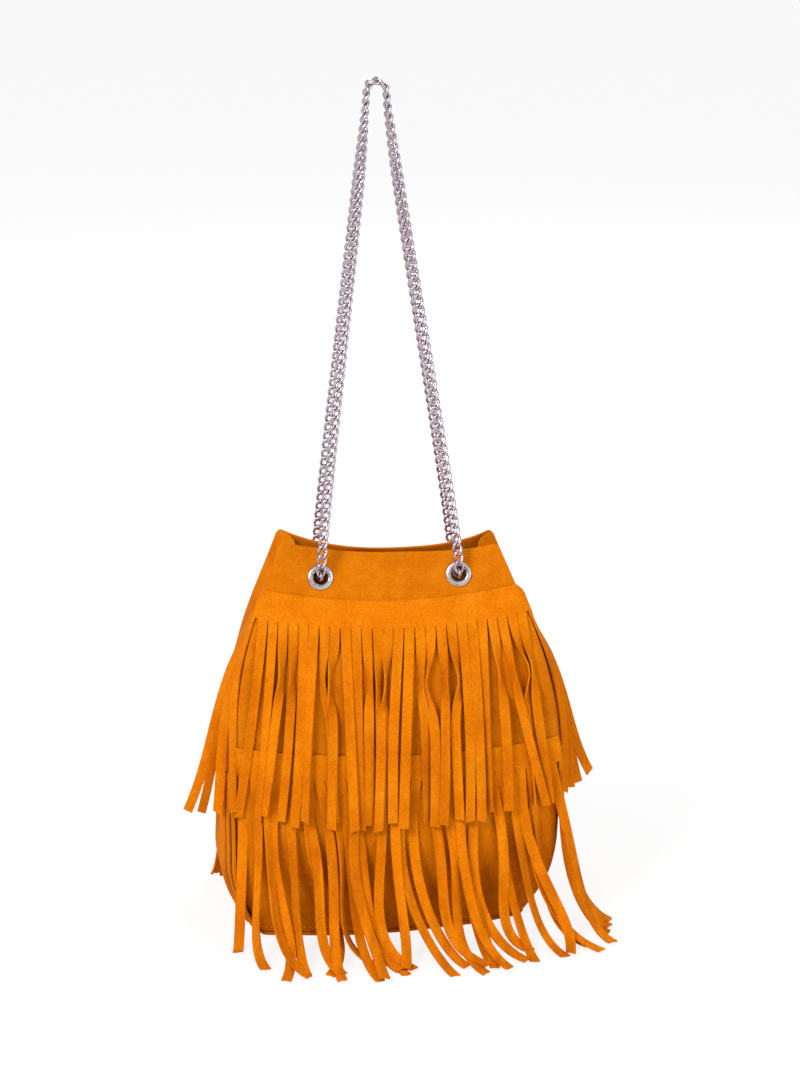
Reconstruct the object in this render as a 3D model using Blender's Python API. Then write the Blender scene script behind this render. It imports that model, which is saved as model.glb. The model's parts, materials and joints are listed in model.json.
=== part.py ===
"""Fringed suede bucket bag on a curb chain, for Blender 4.5.

Metres, +Z up. The origin is the middle of the base's underside, and the front faces -Y.
The bag stands on its flat base with the chain drawn up, as over a hook.
"""

import math

import bmesh
import bpy
from mathutils import Matrix, Vector

# Body of the bag
BAG_HEIGHT = 0.3065
BELLY_HEIGHT = 0.062
SHOULDER_HEIGHT = 0.205
LEATHER = 0.0018
FIT_GAP = 0.0003
FRONT_SAG = 0.0125
BACK_SAG = 0.017
GUSSET_DIP = 0.016

# Half width between the two side seams: at the base, belly, shoulder and mouth
SEAM_WIDTH = (0.102, 0.124, 0.1178, 0.0825)

# Half depth at the side seams
SEAM_DEPTH = (0.047, 0.060, 0.047, 0.020)

# How far the middle of a front or back panel stands out beyond its seams. The chain draws
# the panels together at the mouth, so there it is negative.
CROWN = (0.015, 0.016, 0.007, -0.013)

# How far a gusset's middle stands out beyond the seams, or folds in where it is negative
GUSSET_BULGE = (0.009, 0.011, 0.004, -0.019)

# The soft body turns a little on its base, and leans to the right
BASE_TURN = math.radians(6)
MOUTH_LEAN = 0.0035
BODY_LEAN = 0.005

BASE_THICKNESS = 0.0024
BASE_EDGE = 0.0012
PANEL_COLUMNS = 10
PANEL_ROWS = 12
GUSSET_COLUMNS = 4

# Fringe rows
FRINGE_THICKNESS = 0.0014
FRINGE_HEADER = 0.020
FRINGE_REACH = 0.985
FRINGE_STAND = 0.0007
STRIP_FILL = 0.90
STRIP_STAGGER = 0.0042
STRIP_WANDER = 0.0022

UPPER_STRIPS = 26
UPPER_LENGTH = 0.1463
UPPER_SEGMENTS = 3
UPPER_LIFT = 0.0075
UPPER_FLARE_LEFT = 0.062
UPPER_FLARE_RIGHT = 0.026
UPPER_HANG = 0.006
FLARE_POWER = 4

ROW_DROP = 0.1165
LOWER_STRIPS = 30
LOWER_RUN = 0.074
LOWER_SEGMENTS = 4
LOWER_SWEEP = math.radians(12)
LOWER_SWEEP_SPREAD = math.radians(6)

# Eyelets
EYELET_SPACING = 0.106
EYELET_DROP = 0.0285
HEADER_CLEARANCE = 0.0045
EYELET_BORE = 0.0055
EYELET_FLANGE = 0.0100
EYELET_WALL = 0.0007
EYELET_CROWN = 0.0016
EYELET_SIDES = 12
WASHER_RADIUS = 0.0090
WASHER_THICKNESS = 0.0010
HOLE_GAP = 0.0003
# The leather curves a little under a flat flange and behind a flat washer
FLANGE_GAP = 0.0010
WASHER_GAP = 0.0010

# Chain
LINK_PITCH = 0.0071
LINK_SIDE = 0.0034
LINK_WIRE = 0.0023
LINK_TURN = math.radians(28)
END_LINK_LENGTH = 0.0080
END_LINK_HOLE = 0.0040
END_LINK_WIRE = 0.0018
END_BAR = 0.0024
PIVOT_STAND = 0.0065
PIVOT_GAP = 0.0003
HOOK_RISE = 0.3455
HOOK_SIDE = -0.003
HOOK_RADIUS = 0.0075
HANDLE_GAP = 0.0012
RUN_START = 0.030
RUN_END = 0.030
INSIDE_SAG = 0.45

# The eyelets hang below the rim, the upper fringe row's top edge below the eyelets'
# flanges, and the lower row below the upper one. The hook is above the rim.
EYELET_HEIGHT = BAG_HEIGHT - EYELET_DROP
EYELET_ACROSS = EYELET_SPACING / 2 / SEAM_WIDTH[-1]
UPPER_TOP = EYELET_HEIGHT - EYELET_FLANGE - HEADER_CLEARANCE + FRONT_SAG * (1 - EYELET_ACROSS**2)
LOWER_TOP = UPPER_TOP - ROW_DROP
HOOK_HEIGHT = BAG_HEIGHT + HOOK_RISE

SUEDE = (0.83, 0.24, 0.004, 1)
SUEDE_DARK = (0.70, 0.19, 0.004, 1)
NICKEL = (0.62, 0.58, 0.61, 1)

FRONT, BACK = 1, -1
LEFT, RIGHT = -1, 1
X_AXIS = Vector((1, 0, 0))


def make_material(name, colour, metallic, roughness):
    material = bpy.data.materials.new(name)
    material.use_nodes = True
    shader = material.node_tree.nodes["Principled BSDF"]
    shader.inputs["Base Color"].default_value = colour
    shader.inputs["Metallic"].default_value = metallic
    shader.inputs["Roughness"].default_value = roughness
    return material


def add_object(name, mesh, material):
    part = bpy.data.objects.new(name, mesh)
    part.data.materials.append(material)
    bpy.context.scene.collection.objects.link(part)
    return part


def closed_mesh(name, points, faces):
    """A mesh of these points and faces, its normals turned out."""
    mesh = bpy.data.meshes.new(name)
    mesh.from_pydata([tuple(point) for point in points], [], faces)
    shape = bmesh.new()
    shape.from_mesh(mesh)
    bmesh.ops.recalc_face_normals(shape, faces=shape.faces)
    shape.to_mesh(mesh)
    shape.free()
    return mesh


def hermite(start, start_slope, end, end_slope, span, share):
    """A value on the smooth curve between two values with these slopes, a span apart."""
    rest = 1 - share
    return (
        start * (1 + 2 * share) * rest**2
        + start_slope * span * share * rest**2
        + end * share**2 * (3 - 2 * share)
        - end_slope * span * share**2 * rest
    )


def loft(height, sizes):
    """A size at a height, from its values at the base, the belly, the shoulder and the mouth."""
    base, belly, shoulder, mouth = sizes
    if height < BELLY_HEIGHT:
        return base + (belly - base) * math.sin(math.pi / 2 * height / BELLY_HEIGHT)
    low, high = SHOULDER_HEIGHT - BELLY_HEIGHT, BAG_HEIGHT - SHOULDER_HEIGHT
    mouth_slope = (mouth - shoulder) / high
    shoulder_slope = ((shoulder - belly) / low + mouth_slope) / 2
    if height < SHOULDER_HEIGHT:
        return hermite(belly, 0, shoulder, shoulder_slope, low, (height - BELLY_HEIGHT) / low)
    share = (height - SHOULDER_HEIGHT) / high
    return hermite(shoulder, shoulder_slope, mouth, mouth_slope, high, share)


def seam_width(height):
    return loft(height, SEAM_WIDTH)


def seam_depth(height):
    return loft(height, SEAM_DEPTH)


def panel_point(across, height):
    """A point on the front panel's outer face. across runs from -1 at the left seam to 1."""
    depth = seam_depth(height) + loft(height, CROWN) * (1 - across**2)
    return Vector((across * seam_width(height), -depth, height))


def gusset_point(along, height):
    """A point on the right gusset's outer face. along runs from -1 at the front to 1."""
    bulge = loft(height, GUSSET_BULGE)
    fold = math.atan2(max(-2 * bulge, 0), seam_depth(height))
    depth = seam_depth(height) - LEATHER * (1 + math.sin(fold)) - 2 * FIT_GAP
    return Vector((seam_width(height) + bulge * (1 - along**2), along * depth, height))


def normal_of(surface, first, height):
    """The outward unit normal of a surface function, from small steps along it."""
    step = 1e-4
    across = surface(first + step, height) - surface(first - step, height)
    up = surface(first, height + step) - surface(first, height - step)
    return across.cross(up).normalized()


def proud_of(surface, first, height, distance):
    return surface(first, height) + normal_of(surface, first, height) * distance


def settled(points, side):
    """Points of the straight front, or turned half way round for the back, as the bag lies.

    From the eyelets up it stays square to the axes, and the body turns below them.
    """
    places = []
    for point in points:
        rise = point.z / BAG_HEIGHT
        turn = BASE_TURN * max(1 - point.z / EYELET_HEIGHT, 0) ** 2
        lean = MOUTH_LEAN * rise + BODY_LEAN * math.sin(math.pi * rise)
        x, y = side * point.x, side * point.y
        places.append(
            Vector((
                x * math.cos(turn) - y * math.sin(turn) + lean,
                x * math.sin(turn) + y * math.cos(turn),
                point.z,
            ))
        )
    return places


def leather_sheet(name, surface, columns, rows, top_at, side, material):
    """A sheet of leather on a surface function, its outer face on the surface."""
    bottom = BASE_THICKNESS + FIT_GAP
    outer, inner = [], []
    for row in range(rows + 1):
        for column in range(columns + 1):
            first = 2 * column / columns - 1
            height = bottom + (top_at(first) - bottom) * row / rows
            outer.append(surface(first, height))
            inner.append(proud_of(surface, first, height, -LEATHER))
            inner[-1].z = max(inner[-1].z, bottom)
    points = outer + inner
    across = columns + 1
    behind = across * (rows + 1)
    faces = []
    for row in range(rows):
        for column in range(columns):
            corner = row * across + column
            quad = (corner, corner + 1, corner + across + 1, corner + across)
            faces.append(quad)
            faces.append(tuple(index + behind for index in reversed(quad)))
    rim = [column for column in range(across)]
    rim += [row * across + columns for row in range(1, rows + 1)]
    rim += [rows * across + column for column in range(columns - 1, -1, -1)]
    rim += [row * across for row in range(rows - 1, 0, -1)]
    for index, corner in enumerate(rim):
        following = rim[(index + 1) % len(rim)]
        faces.append((following, corner, corner + behind, following + behind))
    mesh = closed_mesh(name, settled(points, side), faces)
    part = add_object(name, mesh, material)
    mesh.shade_smooth()
    mesh.set_sharp_from_angle(angle=math.radians(40))
    return part


def front_rim(across):
    return BAG_HEIGHT - FRONT_SAG * (1 - across**2)


def back_rim(across):
    return BAG_HEIGHT - BACK_SAG * (1 - across**2)


def gusset_top(along):
    return BAG_HEIGHT - GUSSET_DIP * (1 - abs(along))


def base_panel(material):
    """The flat base, its outline the body's own bottom edge and a little beyond."""
    height = BASE_THICKNESS
    outline = []
    for column in range(PANEL_COLUMNS + 1):
        point = panel_point(2 * column / PANEL_COLUMNS - 1, height)
        outline.append(Vector((point.x, point.y - BASE_EDGE)))
    for column in range(1, GUSSET_COLUMNS):
        point = gusset_point(2 * column / GUSSET_COLUMNS - 1, height)
        outline.append(Vector((point.x + BASE_EDGE, point.y)))
    outline += [-point for point in outline]
    count = len(outline)
    points = [Vector((point.x, point.y, z)) for z in (0, BASE_THICKNESS) for point in outline]
    points = settled(points, FRONT)
    faces = [tuple(range(count))[::-1], tuple(range(count, 2 * count))]
    for index in range(count):
        following = (index + 1) % count
        faces.append((index, following, following + count, index + count))
    return add_object("base_panel", closed_mesh("base_panel", points, faces), material)


def upper_station(across, share, strip):
    """Where an upper strip's middle is, share of the way down it.

    It hangs plumb while the body widens and turns behind it, and the outer ones flare.
    """
    start = UPPER_TOP - FRINGE_HEADER
    height = start - UPPER_LENGTH * share
    flare = UPPER_FLARE_LEFT if across < 0 else UPPER_FLARE_RIGHT
    lift = UPPER_LIFT * math.sqrt(share) + STRIP_STAGGER * share * (strip % 2)
    wander = STRIP_WANDER * math.sin(2.4 * strip) * share**2
    side = across * seam_width(start) - UPPER_HANG * share + wander
    side += math.copysign(flare, across) * abs(across) ** FLARE_POWER * share
    behind = min(max(side / seam_width(height), -1), 1)
    place = panel_point(behind, height)
    place.x = side
    place.y -= FRINGE_STAND + lift + FRINGE_THICKNESS / 2
    return place, X_AXIS


def lower_station(across, share, strip):
    """Where a lower strip's middle is: it falls clear of the belly and sweeps out on the floor."""
    start = LOWER_TOP - FRINGE_HEADER
    floor = FIT_GAP + FRINGE_THICKNESS / 2
    angle = math.pi / 2 * share
    sweep = LOWER_SWEEP + LOWER_SWEEP_SPREAD * across
    run = LOWER_RUN * (1 - math.cos(angle))
    place = panel_point(across, start)
    place.x += run * math.sin(sweep)
    place.y -= FRINGE_STAND + FRINGE_THICKNESS / 2 + run * math.cos(sweep)
    place.z = floor + (start - floor) * (1 - math.sin(angle))
    turn = sweep * share
    sideways = Vector((math.cos(turn), math.sin(turn), 0))
    return place, sideways


def fringe_row(name, top, count, segments, station, side, material):
    """One piece of suede: a header sewn to the panel, and the strips cut into it."""
    bottom = top - FRINGE_HEADER
    points, faces = [], []

    def add(*new):
        points.extend(new)
        return range(len(points) - len(new), len(points))

    heads, roots = [], []
    for cut in range(count + 1):
        across = FRINGE_REACH * (2 * cut / count - 1)
        for height, edges in ((top, heads), (bottom, roots)):
            sag = FRONT_SAG * (1 - across**2) * height / BAG_HEIGHT
            edges.append(
                add(
                    proud_of(panel_point, across, height - sag, FRINGE_STAND + FRINGE_THICKNESS),
                    proud_of(panel_point, across, height - sag, FRINGE_STAND),
                )
            )
    for strip in range(count):
        head, next_head = heads[strip], heads[strip + 1]
        root, next_root = roots[strip], roots[strip + 1]
        faces.append((root[0], next_root[0], next_head[0], head[0]))
        faces.append((head[1], next_head[1], next_root[1], root[1]))
        faces.append((head[0], next_head[0], next_head[1], head[1]))
        across = FRINGE_REACH * (2 * (strip + 0.5) / count - 1)
        width = (points[next_root[0]] - points[root[0]]).length * STRIP_FILL
        sag = FRONT_SAG * (1 - across**2) * bottom / BAG_HEIGHT
        above = (root[0], next_root[0], next_root[1], root[1])
        middle = (points[root[0]] + points[next_root[1]]) / 2
        for segment in range(1, segments + 1):
            share = segment / segments
            place, sideways = station(across, share, strip)
            before, _ = station(across, share - 1 / segments, strip)
            place.z = max(place.z - sag * (1 - share), FIT_GAP + FRINGE_THICKNESS / 2)
            down = (place - middle).normalized()
            middle = place
            out = down.cross(sideways).normalized() * FRINGE_THICKNESS / 2
            half = sideways * width / 2
            below = add(
                place - half + out, place + half + out, place + half - out, place - half - out
            )
            for corner in range(4):
                following = (corner + 1) % 4
                faces.append((above[corner], above[following], below[following], below[corner]))
            above = below
        faces.append(tuple(above))
    for head, root in ((heads[0], roots[0]), (heads[-1], roots[-1])):
        faces.append((head[0], head[1], root[1], root[0]))
    add_object(name, closed_mesh(name, settled(points, side), faces), material)


class Eyelet:
    """Where an eyelet sits on the front panel's outer face, and the way it faces."""

    def __init__(self, hand, side):
        across = hand * EYELET_SPACING / 2 / seam_width(EYELET_HEIGHT)

        def skin(first, height):
            return settled([panel_point(first, height)], side)[0]

        self.centre = skin(across, EYELET_HEIGHT)
        self.normal = normal_of(skin, across, EYELET_HEIGHT)
        facing = self.normal.to_track_quat("Z", "Y").to_matrix().to_4x4()
        self.frame = Matrix.Translation(self.centre) @ facing


def turned_ring(name, profile, frame, sides, material):
    """A ring with this closed profile of (radius, height) points, about the frame's Z axis."""
    points, faces = [], []
    count = len(profile)
    for turn in range(sides):
        angle = 2 * math.pi * turn / sides
        for radius, height in profile:
            spot = Vector((radius * math.cos(angle), radius * math.sin(angle), height))
            points.append(frame @ spot)
    for turn in range(sides):
        here, there = turn * count, (turn + 1) % sides * count
        for index in range(count):
            following = (index + 1) % count
            faces.append((here + index, here + following, there + following, there + index))
    mesh = closed_mesh(name, points, faces)
    part = add_object(name, mesh, material)
    mesh.shade_smooth()
    mesh.set_sharp_from_angle(angle=math.radians(50))
    return part


def eyelet(name, frame, material):
    """The pressed eyelet: flange outside, barrel through the leather, foot rolled inside."""
    barrel = EYELET_BORE + EYELET_WALL
    back = LEATHER + WASHER_GAP + WASHER_THICKNESS
    profile = (
        (EYELET_FLANGE, FLANGE_GAP),
        (EYELET_FLANGE - EYELET_WALL, FLANGE_GAP + EYELET_CROWN * 0.6),
        ((EYELET_FLANGE + EYELET_BORE) / 2, FLANGE_GAP + EYELET_CROWN),
        (EYELET_BORE, FLANGE_GAP + EYELET_CROWN * 0.4),
        (EYELET_BORE, -back - FIT_GAP - EYELET_WALL),
        (barrel + 2 * EYELET_WALL, -back - FIT_GAP - EYELET_WALL),
        (barrel + 2 * EYELET_WALL, -back - FIT_GAP),
        (barrel, -back - FIT_GAP),
        (barrel, FLANGE_GAP),
    )
    turned_ring(name, profile, frame, EYELET_SIDES, material)


def washer(name, frame, material):
    inner = EYELET_BORE + EYELET_WALL + HOLE_GAP
    outside = -LEATHER - WASHER_GAP
    profile = (
        (WASHER_RADIUS, outside),
        (inner, outside),
        (inner, outside - WASHER_THICKNESS),
        (WASHER_RADIUS, outside - WASHER_THICKNESS),
    )
    turned_ring(name, profile, frame, EYELET_SIDES, material)


def punch(panel, name, frame, material):
    """Cuts an eyelet's hole through a panel."""
    radius = EYELET_BORE + EYELET_WALL + HOLE_GAP
    shape = bmesh.new()
    bmesh.ops.create_cone(
        shape,
        cap_ends=True,
        segments=EYELET_SIDES,
        radius1=radius,
        radius2=radius,
        depth=6 * LEATHER,
        matrix=frame,
    )
    mesh = bpy.data.meshes.new(name)
    shape.to_mesh(mesh)
    shape.free()
    cutter = add_object(name, mesh, material)
    cutter.hide_render = True
    cutter.display_type = "WIRE"
    cut = panel.modifiers.new(name, "BOOLEAN")
    cut.operation = "DIFFERENCE"
    cut.object = cutter


class Station:
    """A joint between two links: its place, the way the chain runs, and its wide direction."""

    def __init__(self, place, along, wide):
        self.place = place
        self.along = along.normalized()
        self.wide = (wide - self.along * wide.dot(self.along)).normalized()
        self.thin = self.along.cross(self.wide)


def resample(path, count, end_length):
    """Points along a fine path at even spacing, the first and last spans end_length long."""
    reach = [0.0]
    for first, second in zip(path, path[1:]):
        reach.append(reach[-1] + (second - first).length)
    pitch = (reach[-1] - 2 * end_length) / (count - 2)
    wanted = [0.0] + [end_length + pitch * index for index in range(count - 1)] + [reach[-1]]
    places, span = [], 0
    for distance in wanted:
        while span < len(path) - 2 and reach[span + 1] < distance:
            span += 1
        share = (distance - reach[span]) / (reach[span + 1] - reach[span])
        places.append((path[span].lerp(path[span + 1], share), path[span + 1] - path[span]))
    return places


def link_count(path):
    length = sum((second - first).length for first, second in zip(path, path[1:]))
    return round((length - 2 * END_LINK_LENGTH) / LINK_PITCH) + 2


def chain(name, stations, material):
    """Links that hook through each other, joined where they bear on each other.

    Each link is a ring of three-sided wire. Where two links cross, the flat inner faces of
    their end bars meet on one rhombus, and that face is left out of both, so the chain is
    one closed body. The first and last links have a free end bar, square to the chain.
    """
    last = len(stations) - 1
    half_wide = LINK_SIDE * math.cos(LINK_TURN)
    half_thin = LINK_SIDE * math.sin(LINK_TURN)
    points, faces, bearing = [], [], []
    for index, station in enumerate(stations):
        place, wide, thin = station.place, station.wide, station.thin
        if index in (0, last):
            reach, bar = wide * END_LINK_HOLE / 2, thin * END_BAR / 2
            corners = (
                place + reach - bar,
                place + reach + bar,
                place - reach + bar,
                place - reach - bar,
            )
        else:
            corners = (
                place + wide * half_wide,
                place + thin * half_thin,
                place - wide * half_wide,
                place - thin * half_thin,
            )
        bearing.append(range(len(points), len(points) + 4))
        points.extend(corners)
    for index in range(last):
        low, high = stations[index], stations[index + 1]
        slope = 1 if index % 2 == 0 else -1
        ring = []
        for end, station, way in ((index, low, -1), (index + 1, high, 1)):
            if end in (0, last):
                bar, reach, wire = station.wide, END_LINK_HOLE / 2, END_LINK_WIRE
            else:
                turn = slope * LINK_TURN
                bar = station.wide * math.cos(turn) + station.thin * math.sin(turn)
                reach, wire = LINK_SIDE / 2, LINK_WIRE
            middle = station.place + station.along * way * wire
            ring.append(range(len(points), len(points) + 2))
            points.extend((middle + bar * (reach + wire), middle - bar * (reach + wire)))
        sides = []
        for end in (index, index + 1):
            right, front, left, behind = bearing[end]
            if end in (0, last):
                low_thin, high_thin = (right, front), (left, behind)
                right_pair = low_thin if slope == 1 else low_thin[::-1]
                left_pair = (high_thin[1], high_thin[0]) if slope == 1 else high_thin
            elif slope == 1:
                right_pair, left_pair = (right, front), (behind, left)
            else:
                right_pair, left_pair = (right, behind), (front, left)
            sides.append((right_pair, left_pair))
        for hand in (0, 1):
            first, second = sides[0][hand], sides[1][hand]
            faces.append((first[0], second[0], second[1], first[1]))
            for near in (0, 1):
                faces.append((first[near], ring[0][hand], ring[1][hand], second[near]))
        for end in (0, 1):
            right_pair, left_pair = sides[end]
            for near in (0, 1):
                faces.append((right_pair[near], ring[end][0], ring[end][1], left_pair[near]))
    for end in (0, last):
        faces.append(tuple(bearing[end]))
    add_object(name, closed_mesh(name, points, faces), material)


def bezier(first, second, third, fourth, steps):
    path = []
    for step in range(steps + 1):
        share = step / steps
        rest = 1 - share
        path.append(
            first * rest**3
            + second * 3 * rest**2 * share
            + third * 3 * rest * share**2
            + fourth * share**3
        )
    return path


def pivot(hand, side):
    """Where a handle's end link hangs, out from its eyelet and level with the other one."""
    seats = [Eyelet(LEFT, side), Eyelet(RIGHT, side)]
    normal = seats[0].normal + seats[1].normal
    out = Vector((0, normal.y, normal.z)).normalized()
    place = (seats[0].centre + seats[1].centre) / 2 + out * PIVOT_STAND
    place.x = Eyelet(hand, side).centre.x
    return place, out


def smooth(share):
    share = min(max(share, 0), 1)
    return share * share * (3 - 2 * share)


def handle_chain(name, side, material):
    """A chain handle: up from one eyelet, over the hook, and down to the other."""
    start, _ = pivot(LEFT, side)
    finish, _ = pivot(RIGHT, side)
    if side == BACK:
        start, finish = finish, start
    link_half = LINK_SIDE * math.cos(LINK_TURN) / 2 + LINK_WIRE
    hook = Vector((HOOK_SIDE, -side * (link_half + HANDLE_GAP), HOOK_HEIGHT - HOOK_RADIUS))
    foot = Vector((hook.x, start.y, start.z))
    up = (hook - foot).normalized()
    rise = (hook - foot).length
    bar = up * END_LINK_WIRE / 3
    path = bezier(
        start + bar,
        start + bar + up * RUN_START,
        foot + up * (rise - RUN_END) - X_AXIS * HOOK_RADIUS,
        hook - X_AXIS * HOOK_RADIUS,
        160,
    )
    top = [
        hook + (up * math.sin(angle) - X_AXIS * math.cos(angle)) * HOOK_RADIUS
        for angle in (math.pi * step / 24 for step in range(1, 24))
    ]
    down = bezier(
        hook + X_AXIS * HOOK_RADIUS,
        foot + up * (rise - RUN_END) + X_AXIS * HOOK_RADIUS,
        finish + bar + up * RUN_START,
        finish + bar,
        160,
    )
    path = path + top + down
    count = link_count(path)
    places = resample(path, count, END_LINK_LENGTH)
    level = X_AXIS.cross(up).normalized()
    stations = []
    for index, (place, along) in enumerate(places):
        from_end = min(index, len(places) - 1 - index) / (len(places) / 2)
        turn = math.pi / 2 * smooth((from_end - 0.25) / 0.65)
        along = along.normalized()
        if index in (0, len(places) - 1):
            along = up if index == 0 else -up
        flat = level.cross(along)
        stations.append(Station(place, along, flat * math.cos(turn) + level * math.sin(turn)))
    chain(name, stations, material)


def inside_chain(name, hand, material):
    """The chain inside the mouth, out through a front and a back eyelet to the end links."""
    clear = END_LINK_WIRE * 2 / 3 + PIVOT_GAP
    front, out_front = pivot(hand, FRONT)
    back, out_back = pivot(-hand, BACK)
    start, finish = front + out_front * clear, back + out_back * clear
    reach = (finish - start).length * INSIDE_SAG
    path = bezier(start, start - out_front * reach, finish - out_back * reach, finish, 80)
    places = resample(path, link_count(path), END_LINK_LENGTH)
    stations = []
    for index, (place, along) in enumerate(places):
        if index == 0:
            along = -out_front
        elif index == len(places) - 1:
            along = out_back
        stations.append(Station(place, along, X_AXIS.cross(along)))
    chain(name, stations, material)


def build():
    for old in list(bpy.data.objects):
        bpy.data.objects.remove(old)
    suede = make_material("suede", SUEDE, 0, 0.95)
    base_suede = make_material("base_suede", SUEDE_DARK, 0, 0.95)
    nickel = make_material("nickel", NICKEL, 1, 0.3)

    base_panel(base_suede)
    for name, side in (("gusset_right", FRONT), ("gusset_left", BACK)):
        leather_sheet(
            name, gusset_point, GUSSET_COLUMNS, PANEL_ROWS, gusset_top, side, suede
        )
    for word, side, rim in (("front", FRONT, front_rim), ("back", BACK, back_rim)):
        panel = leather_sheet(
            word + "_panel", panel_point, PANEL_COLUMNS, PANEL_ROWS, rim, side, suede
        )
        for hand_word, hand in (("left", LEFT * side), ("right", RIGHT * side)):
            seat = Eyelet(hand, side)
            place = word + "_" + hand_word
            eyelet("eyelet_" + place, seat.frame, nickel)
            washer("washer_" + place, seat.frame, nickel)
            punch(panel, "punch_" + place, seat.frame, nickel)
        fringe_row(
            "fringe_" + word + "_upper", UPPER_TOP, UPPER_STRIPS, UPPER_SEGMENTS,
            upper_station, side, suede,
        )
        fringe_row(
            "fringe_" + word + "_lower", LOWER_TOP, LOWER_STRIPS, LOWER_SEGMENTS,
            lower_station, side, suede,
        )
        handle_chain("chain_" + word, side, nickel)
    inside_chain("chain_inside_left", LEFT, nickel)
    inside_chain("chain_inside_right", RIGHT, nickel)


build()
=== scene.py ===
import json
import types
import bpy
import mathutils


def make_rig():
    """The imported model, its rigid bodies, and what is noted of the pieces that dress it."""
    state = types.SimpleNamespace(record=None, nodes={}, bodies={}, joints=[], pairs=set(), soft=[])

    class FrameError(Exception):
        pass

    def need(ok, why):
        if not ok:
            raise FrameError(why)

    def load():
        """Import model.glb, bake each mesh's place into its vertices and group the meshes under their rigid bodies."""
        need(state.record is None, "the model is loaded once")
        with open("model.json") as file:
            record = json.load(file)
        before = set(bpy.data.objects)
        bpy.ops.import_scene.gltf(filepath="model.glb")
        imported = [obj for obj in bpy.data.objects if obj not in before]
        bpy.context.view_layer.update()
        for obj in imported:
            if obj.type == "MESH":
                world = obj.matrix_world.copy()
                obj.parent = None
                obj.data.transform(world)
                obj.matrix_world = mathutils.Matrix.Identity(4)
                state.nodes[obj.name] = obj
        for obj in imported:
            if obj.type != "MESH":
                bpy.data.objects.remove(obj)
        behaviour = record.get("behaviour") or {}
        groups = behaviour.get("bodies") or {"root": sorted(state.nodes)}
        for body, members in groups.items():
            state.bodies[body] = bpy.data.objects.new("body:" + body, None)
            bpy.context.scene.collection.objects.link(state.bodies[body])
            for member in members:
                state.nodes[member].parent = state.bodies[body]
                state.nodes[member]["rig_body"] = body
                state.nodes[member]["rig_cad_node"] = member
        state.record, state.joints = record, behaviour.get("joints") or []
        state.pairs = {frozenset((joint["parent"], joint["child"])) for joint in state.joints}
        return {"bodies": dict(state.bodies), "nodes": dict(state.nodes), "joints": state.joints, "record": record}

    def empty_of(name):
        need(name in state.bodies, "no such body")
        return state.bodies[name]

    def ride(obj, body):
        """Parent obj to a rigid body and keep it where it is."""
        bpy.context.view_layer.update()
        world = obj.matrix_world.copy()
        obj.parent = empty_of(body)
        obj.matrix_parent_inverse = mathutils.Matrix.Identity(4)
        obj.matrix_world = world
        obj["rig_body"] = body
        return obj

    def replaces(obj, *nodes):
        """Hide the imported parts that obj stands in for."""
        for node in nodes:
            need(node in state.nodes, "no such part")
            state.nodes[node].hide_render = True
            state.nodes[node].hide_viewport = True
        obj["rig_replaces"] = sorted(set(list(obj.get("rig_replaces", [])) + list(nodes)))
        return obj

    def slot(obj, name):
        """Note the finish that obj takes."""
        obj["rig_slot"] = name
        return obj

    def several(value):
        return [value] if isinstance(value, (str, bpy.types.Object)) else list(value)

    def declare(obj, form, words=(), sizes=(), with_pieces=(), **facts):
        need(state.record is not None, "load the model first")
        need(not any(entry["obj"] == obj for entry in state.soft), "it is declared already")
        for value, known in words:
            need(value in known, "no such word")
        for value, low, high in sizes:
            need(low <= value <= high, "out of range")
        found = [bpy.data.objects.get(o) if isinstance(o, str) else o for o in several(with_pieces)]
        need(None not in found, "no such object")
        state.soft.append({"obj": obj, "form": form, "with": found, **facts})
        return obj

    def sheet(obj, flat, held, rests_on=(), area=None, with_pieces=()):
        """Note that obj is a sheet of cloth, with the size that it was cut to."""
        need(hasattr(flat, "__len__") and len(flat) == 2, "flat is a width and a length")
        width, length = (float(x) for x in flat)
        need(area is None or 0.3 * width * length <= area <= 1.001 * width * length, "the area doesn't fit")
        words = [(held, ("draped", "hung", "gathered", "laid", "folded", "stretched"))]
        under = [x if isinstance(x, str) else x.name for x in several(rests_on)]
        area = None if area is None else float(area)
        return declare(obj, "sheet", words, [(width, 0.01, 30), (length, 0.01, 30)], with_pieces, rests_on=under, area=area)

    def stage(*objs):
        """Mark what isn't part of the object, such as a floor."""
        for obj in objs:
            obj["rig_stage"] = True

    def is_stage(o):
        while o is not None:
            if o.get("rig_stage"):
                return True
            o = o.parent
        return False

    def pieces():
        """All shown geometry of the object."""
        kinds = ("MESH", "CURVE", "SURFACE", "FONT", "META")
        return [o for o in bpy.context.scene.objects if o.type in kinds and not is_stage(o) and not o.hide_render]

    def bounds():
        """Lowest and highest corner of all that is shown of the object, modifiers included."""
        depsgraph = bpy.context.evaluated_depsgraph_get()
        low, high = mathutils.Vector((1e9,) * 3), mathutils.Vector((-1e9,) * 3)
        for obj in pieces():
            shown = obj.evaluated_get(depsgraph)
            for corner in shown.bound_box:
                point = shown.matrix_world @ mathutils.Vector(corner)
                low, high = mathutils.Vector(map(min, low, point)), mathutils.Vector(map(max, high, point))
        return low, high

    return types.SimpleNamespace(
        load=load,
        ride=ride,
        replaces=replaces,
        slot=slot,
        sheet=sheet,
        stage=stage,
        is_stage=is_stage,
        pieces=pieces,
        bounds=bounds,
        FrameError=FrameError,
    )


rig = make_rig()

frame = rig.load()

import json
import math
import random

import bmesh
import bpy
from mathutils import Matrix, Vector, noise

lowest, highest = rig.bounds()
with open("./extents.json", "w") as size_file:
    json.dump({"cad": [list(lowest), list(highest)]}, size_file)


# ---------------------------------------------------------------- front and back panels
# Each is one piece of napped suede about 1.8 mm thick, lofted from the wide belly to the
# narrower mouth. Its rim is cut raw and dips in the middle, where the chain lets it sag.
# It is sewn to the base and the gussets, and two eyelet holes are punched under the rim.

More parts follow.
